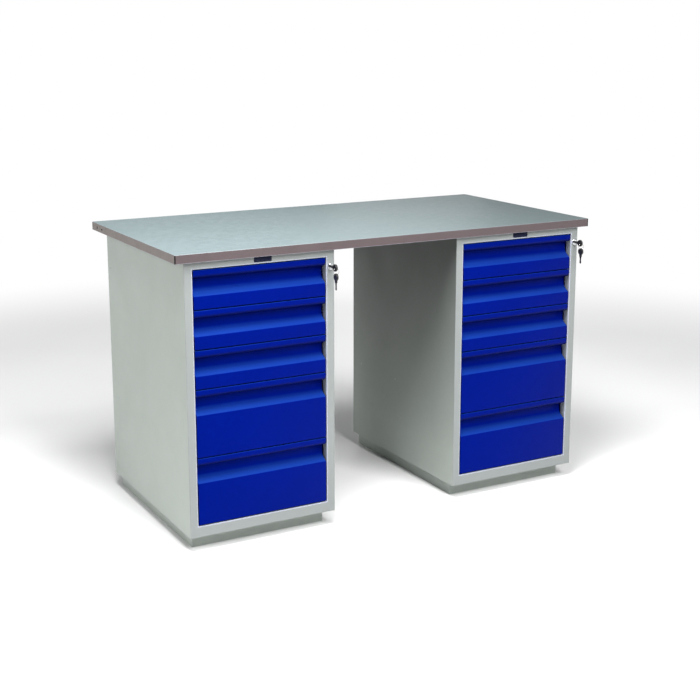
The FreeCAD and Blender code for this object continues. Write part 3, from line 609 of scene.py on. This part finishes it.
def neck_surface():
    """The moulded collar between bow and blade, tapering towards the blade."""
    corners = np.array([(7.5, -4.9), (16.5, -4.1), (16.5, 4.1), (7.5, 4.9)]) * MM
    outline = rounded_outline(corners, np.array([0.6, 1.2, 1.2, 0.6]) * MM, 6)
    points, faces = stack(outline, rounded_rim(5.0 * MM, 0.9 * MM, 5))
    points = points[:, [2, 0, 1]] - np.array([2.5 * MM, 0, 0])
    return points, faces


def place_key(points, centre, hanging):
    """Turn key coordinates (thickness, along, across) to the lock or to hang down."""
    if hanging:
        points = points[:, [0, 2, 1]] * np.array([1, 1, -1])
    return points + np.asarray(centre)


print("key shapes ready: bow", 2 * BOW_RADIUS / MM, "mm across")

# %% make the four keys
for side in SIDES:
    for node_name, body, hanging in ((f"{side}_key", f"{side}_lock_core", False),
                                     (f"{side}_spare_key", f"{side}_spare_key", True)):
        low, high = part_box(node_name)
        if hanging:
            centre = ((low.x + high.x) / 2, (low.y + high.y) / 2, high.z - BOW_RADIUS)
        else:
            centre = ((low.x + high.x) / 2, low.y + BOW_RADIUS, (low.z + high.z) / 2)
        for part, surface, finish, slot in (
                ("bow", bow_surface, black_plastic, "black_plastic"),
                ("collar", neck_surface, black_plastic, "black_plastic"),
                ("blade", blade_surface, blued, "chrome")):
            points, faces = surface()
            points = place_key(points, centre, hanging)
            make_piece(f"{node_name}_{part}", points, faces, finish, body, [node_name])
print("keys: 4, each a bow, a collar and a blade")

# %% [markdown]
# ## Key rings
# A split ring is flat wire wound twice, with one step where it passes from the front
# turn to the back one. Its centre line is a circle whose depth follows a smooth step at
# the crossing, and both ends stop just short of it. The wire's flattened section is
# carried along that line.

# %% wind the rings
WIRE_SIDES = 12
WIRE_RADIAL = 1.1 * MM
WIRE_WIDTH = 0.56 * MM
WIRE_INSET = 0.6 * MM


def split_ring(centre, radius, radial, width, turns=150):
    """A twice-wound wire. At angle a the wire is at radius (cos a, sin a); its depth goes
    from minus to plus half the spacing by a smooth step about one full turn, and the
    section is a superellipse in the radial and depth directions."""
    gap = math.radians(24)
    a = np.linspace(gap, 4 * np.pi - gap, turns)
    step = np.clip((a - 2 * np.pi + gap * 0.9) / (gap * 1.8), 0, 1)
    depth = (step * step * (3 - 2 * step) - 0.5) * width * 1.05
    s = np.linspace(0, 2 * np.pi, WIRE_SIDES, endpoint=False)
    out = np.sign(np.cos(s)) * np.abs(np.cos(s)) ** 0.6 * radial / 2
    deep = np.sign(np.sin(s)) * np.abs(np.sin(s)) ** 0.6 * width / 2
    reach = radius + out[None, :]
    x = centre[0] + reach * np.sin(a)[:, None]
    z = centre[2] + reach * np.cos(a)[:, None]
    y = centre[1] + depth[:, None] + deep[None, :]
    points = np.stack([x, y, z], axis=-1).reshape(-1, 3)
    faces = ring_faces(turns, WIRE_SIDES).tolist()
    faces += end_caps(turns, WIRE_SIDES)
    return points, faces


for side in SIDES:
    low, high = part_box(f"{side}_key_ring")
    middle = (low + high) / 2
    radius = (high.x - low.x) / 2 - WIRE_INSET
    points, faces = split_ring(middle, radius, WIRE_RADIAL, WIRE_WIDTH)
    make_piece(f"{side}_split_ring", points, faces, nickel, f"{side}_key_ring",
               [f"{side}_key_ring"])
print("split rings: 2, wire centre", round(radius / MM, 2), "mm from the middle")

# %% [markdown]
# ## Badge plates
# A small dark plate sits on each top rail. Whatever it says on a real bench is left out:
# it is a plain pressed plate with a raised rim. The rim is only a matter of levels, so
# the same stack of rings makes it, up the edge, over the rim and down to the field.

# %% press the badge plates
low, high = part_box("badge_plates")
PLATE_WIDTH = 54.0 * MM
for side, left in (("left", low.x), ("right", high.x - PLATE_WIDTH)):
    right = left + PLATE_WIDTH
    corners = [(left, low.z), (right, low.z), (right, high.z), (left, high.z)]
    outline = rounded_outline(corners, np.full(4, 2.2 * MM), 8)
    levels = np.array([(0.2, 0.0), (0.0, 0.1), (0.0, 0.7), (0.1, 0.9), (0.3, 1.0), (1.1, 1.0),
                       (1.3, 0.9), (1.5, 0.55)]) * MM
    points, faces = stack(outline, levels)
    points = points[:, [0, 2, 1]] * np.array([1, -1, 1]) + np.array([0, high.y, 0])
    make_piece(f"{side}_badge_plate", points, faces, badge_navy, "root",
               ["badge_plates"])
print("badge plates: 2, plain, with a raised rim")

# %% [markdown]
# ## Screws in the worktop's ends
# Two small dark screws hold the folded sheet to the core near the rear of each end. A
# pan head is a turned shape: its side view spun about the screw's axis, with a hexagon
# socket sunk in the middle by drawing the inner rings down.

# %% turn the end screws
SCREW_INSETS = ((1, 48 * MM), (2, 92 * MM))
SCREW_RADIUS = 3.2 * MM
SCREW_PROUD = 1.2 * MM


def pan_head(centre, direction, radius, proud, around=24):
    """A domed head with a socket. Each ring has its own (radius, height), and the socket's
    rings follow a hexagon: their radius is divided by the cosine of the angle from the
    nearest flat's middle."""
    t = np.linspace(0, 2 * np.pi, around, endpoint=False)[None, :]
    profile = np.array([(1.0, 0.0), (1.0, 0.35), (0.93, 0.7), (0.75, 0.93), (0.58, 1.0),
                        (0.50, 0.97), (0.46, 0.2)])
    flat = np.cos((t % (np.pi / 3)) - np.pi / 6)
    hexed = np.array([0, 0, 0, 0, 0, 1, 1])[:, None]
    reach = profile[:, :1] * radius * (hexed / flat * 0.93 + (1 - hexed))
    x = centre[0] + direction * profile[:, 1:] * proud + 0 * t
    y = centre[1] + reach * np.cos(t)
    z = centre[2] + reach * np.sin(t)
    points = np.stack(np.broadcast_arrays(x, y, z), axis=-1).reshape(-1, 3)
    rings = len(profile)
    faces = ring_faces(rings, around).tolist()
    faces += end_caps(rings, around)
    return points, faces


top_low, top_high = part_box("worktop_cover")
for side, edge, direction in (("left", top_low.x, -1), ("right", top_high.x, 1)):
    for number, inset in SCREW_INSETS:
        centre = (edge, top_high.y - inset, (top_low.z + top_high.z) / 2 - 1 * MM)
        points, faces = pan_head(centre, direction, SCREW_RADIUS, SCREW_PROUD)
        make_piece(f"{side}_end_screw_{number}", points, faces, blued, "root")
print("end screws: 4")

# %% [markdown]
# ## Open corners of the folded worktop
# The sheet is folded down on all four sides and left open at the corners, and a near-black line
# shows beside each upright edge. A thin near-black strip stands in each opening, with
# the same rounded rim as the other stacks of rings.

# %% fill the corner openings
SEAM = 3.0 * MM
STRIP_DEPTH = 3 * MM
STRIP_HEIGHT = 23.6 * MM
PROUD_SIDE = 0.1 * MM
PROUD_FRONT = 0.25 * MM
for along, across in ((-1, -1), (1, -1), (1, 1), (-1, 1)):
    x = top_low.x if along < 0 else top_high.x
    y = top_low.y if across < 0 else top_high.y
    corners = [(x + PROUD_SIDE * along, y + PROUD_FRONT * across),
               (x - SEAM * along, y + PROUD_FRONT * across),
               (x - SEAM * along, y - STRIP_DEPTH * across),
               (x + PROUD_SIDE * along, y - STRIP_DEPTH * across)]
    outline = rounded_outline(corners, np.full(4, 0.3 * MM), 4)
    points, faces = stack(outline, rounded_rim(STRIP_HEIGHT, 0.3 * MM))
    points = points + np.array([0, 0, top_low.z])
    end = "left" if along < 0 else "right"
    row = "front" if across < 0 else "rear"
    make_piece(f"corner_core_{end}_{row}", points, faces, corner_black, "root")
print("corner openings: 4")

# %% [markdown]
# ## Floor and light
# The bench stands on a plain pale studio floor that fades to pure white well away from
# it, so no horizon shows. A large soft light from the left models the left side, a strong
# one high in front lights the drawers, a small one overhead picks out the upward slopes,
# and a low one behind keeps the back from falling dark without shining on the worktop.
# The surround looks white, but sends only a tenth of that light to the bench, so the
# knee space stays dark.

# %% floor
def pale_floor(name):
    """A matt off-white floor with the faintest mottling."""
    material, tree, shader = start_finish(name)
    mottle = noise(tree, 2.0, 3.0)
    body = blend_colours(tree, mottle, (0.73, 0.73, 0.73), (0.76, 0.76, 0.76))
    tree.links.new(body, shader.inputs["Base Color"])
    tree.links.new(rescale(tree, mottle, 0.3, 0.7, 0.7, 0.85), shader.inputs["Roughness"])
    shader.inputs["Specular IOR Level"].default_value = 0.1
    where = node(tree, "ShaderNodeTexCoord").outputs["Object"]
    reach = tree.nodes.new("ShaderNodeVectorMath")
    reach.operation = "LENGTH"
    tree.links.new(where, reach.inputs[0])
    far = node(tree, "ShaderNodeMapRange", {"interpolation_type": "SMOOTHSTEP"},
               Value=reach.outputs["Value"], From_Min=2.0, From_Max=3.8)
    glow = node(tree, "ShaderNodeEmission", Color=(1.0, 1.0, 1.0, 1.0), Strength=1.0)
    both = node(tree, "ShaderNodeMixShader")
    tree.links.new(far.outputs["Result"], both.inputs[0])
    tree.links.new(shader.outputs[0], both.inputs[1])
    tree.links.new(glow.outputs[0], both.inputs[2])
    tree.links.new(both.outputs[0], tree.nodes["Material Output"].inputs["Surface"])
    return material


FLOOR_REACH = 40
FLOOR_LINES = 9
FLOOR_DROP = 0.0005
lines = np.linspace(-FLOOR_REACH, FLOOR_REACH, FLOOR_LINES)
u, v = np.meshgrid(lines, lines, indexing="ij")
ground = np.stack([u, v, 0 * u - FLOOR_DROP], axis=-1).reshape(-1, 3)
i, j = np.meshgrid(np.arange(FLOOR_LINES - 1), np.arange(FLOOR_LINES - 1), indexing="ij")
first = i * FLOOR_LINES + j
tiles = np.stack([first, first + FLOOR_LINES, first + FLOOR_LINES + 1, first + 1], axis=-1)
floor_mesh = bpy.data.meshes.new("studio_floor")
floor_mesh.from_pydata(ground.tolist(), [], tiles.reshape(-1, 4).tolist())
floor_mesh.materials.append(pale_floor("studio_floor_pale"))
floor = bpy.data.objects.new("studio_floor", floor_mesh)
bpy.context.scene.collection.objects.link(floor)
print("floor laid")

# %% lights
def soft_light(name, position, target, size, power):
    """A square soft box of that size in metres, aimed from its position at a target."""
    lamp = bpy.data.lights.new(name, "AREA")
    lamp.shape = "SQUARE"
    lamp.size = size
    lamp.energy = power
    item = bpy.data.objects.new(name, lamp)
    item.location = position
    aim = Vector(target) - Vector(position)
    item.rotation_euler = aim.to_track_quat("-Z", "Y").to_euler()
    bpy.context.scene.collection.objects.link(item)
    return item


soft_light("left_light", (-5.0, 0.4, 2.4), (-0.3, 0, 0.4), 3.6, 145)
soft_light("front_light", (0.45, -4.0, 4.0), (0, 0, 0.4), 2.2, 330)
soft_light("ceiling_light", (-0.8, -1.0, 3.0), (-0.5, -0.3, 0.6), 1.1, 135)
rear_light = soft_light("rear_light", (2.8, 4.2, 0.62), (0.2, 0, 0.42), 1.1, 60)
rear_light.visible_camera = False

surround = bpy.data.worlds.new("studio_surround")
surround.use_nodes = True
sky = surround.node_tree
backdrop = sky.nodes["Background"]
backdrop.inputs["Color"].default_value = (1.0, 1.0, 1.0, 1.0)
backdrop.inputs["Strength"].default_value = 1.0
room = node(sky, "ShaderNodeBackground", Color=(0.96, 0.98, 1.0, 1.0), Strength=0.10)
seen = node(sky, "ShaderNodeLightPath").outputs["Is Camera Ray"]
both = node(sky, "ShaderNodeMixShader")
sky.links.new(seen, both.inputs[0])
sky.links.new(room.outputs[0], both.inputs[1])
sky.links.new(backdrop.outputs[0], both.inputs[2])
sky.links.new(both.outputs[0], sky.nodes["World Output"].inputs["Surface"])
bpy.context.scene.world = surround
bpy.context.scene.view_settings.view_transform = "Standard"
bpy.context.scene.view_settings.look = "None"
print("lights set")

# %% [markdown]
# ## Camera
# The camera stands to the left of the bench at a person's eye height, looking a little
# down, with a long normal lens. A small vertical shift keeps uprights close to upright
# without tilting the camera further.

# %% camera
lens = bpy.data.cameras.new("bench_camera")
lens.sensor_width = 36.0
lens.lens = 65.94
lens.shift_y = -0.0714
lens.clip_end = 200.0
camera = bpy.data.objects.new("bench_camera", lens)
camera.location = (-1.92088, -3.50296, 1.45319)
camera.rotation_euler = (math.radians(90 - 11.99), 0.0, math.radians(-28.98))
bpy.context.scene.collection.objects.link(camera)
bpy.context.scene.camera = camera
print("camera", [round(v, 3) for v in camera.location])
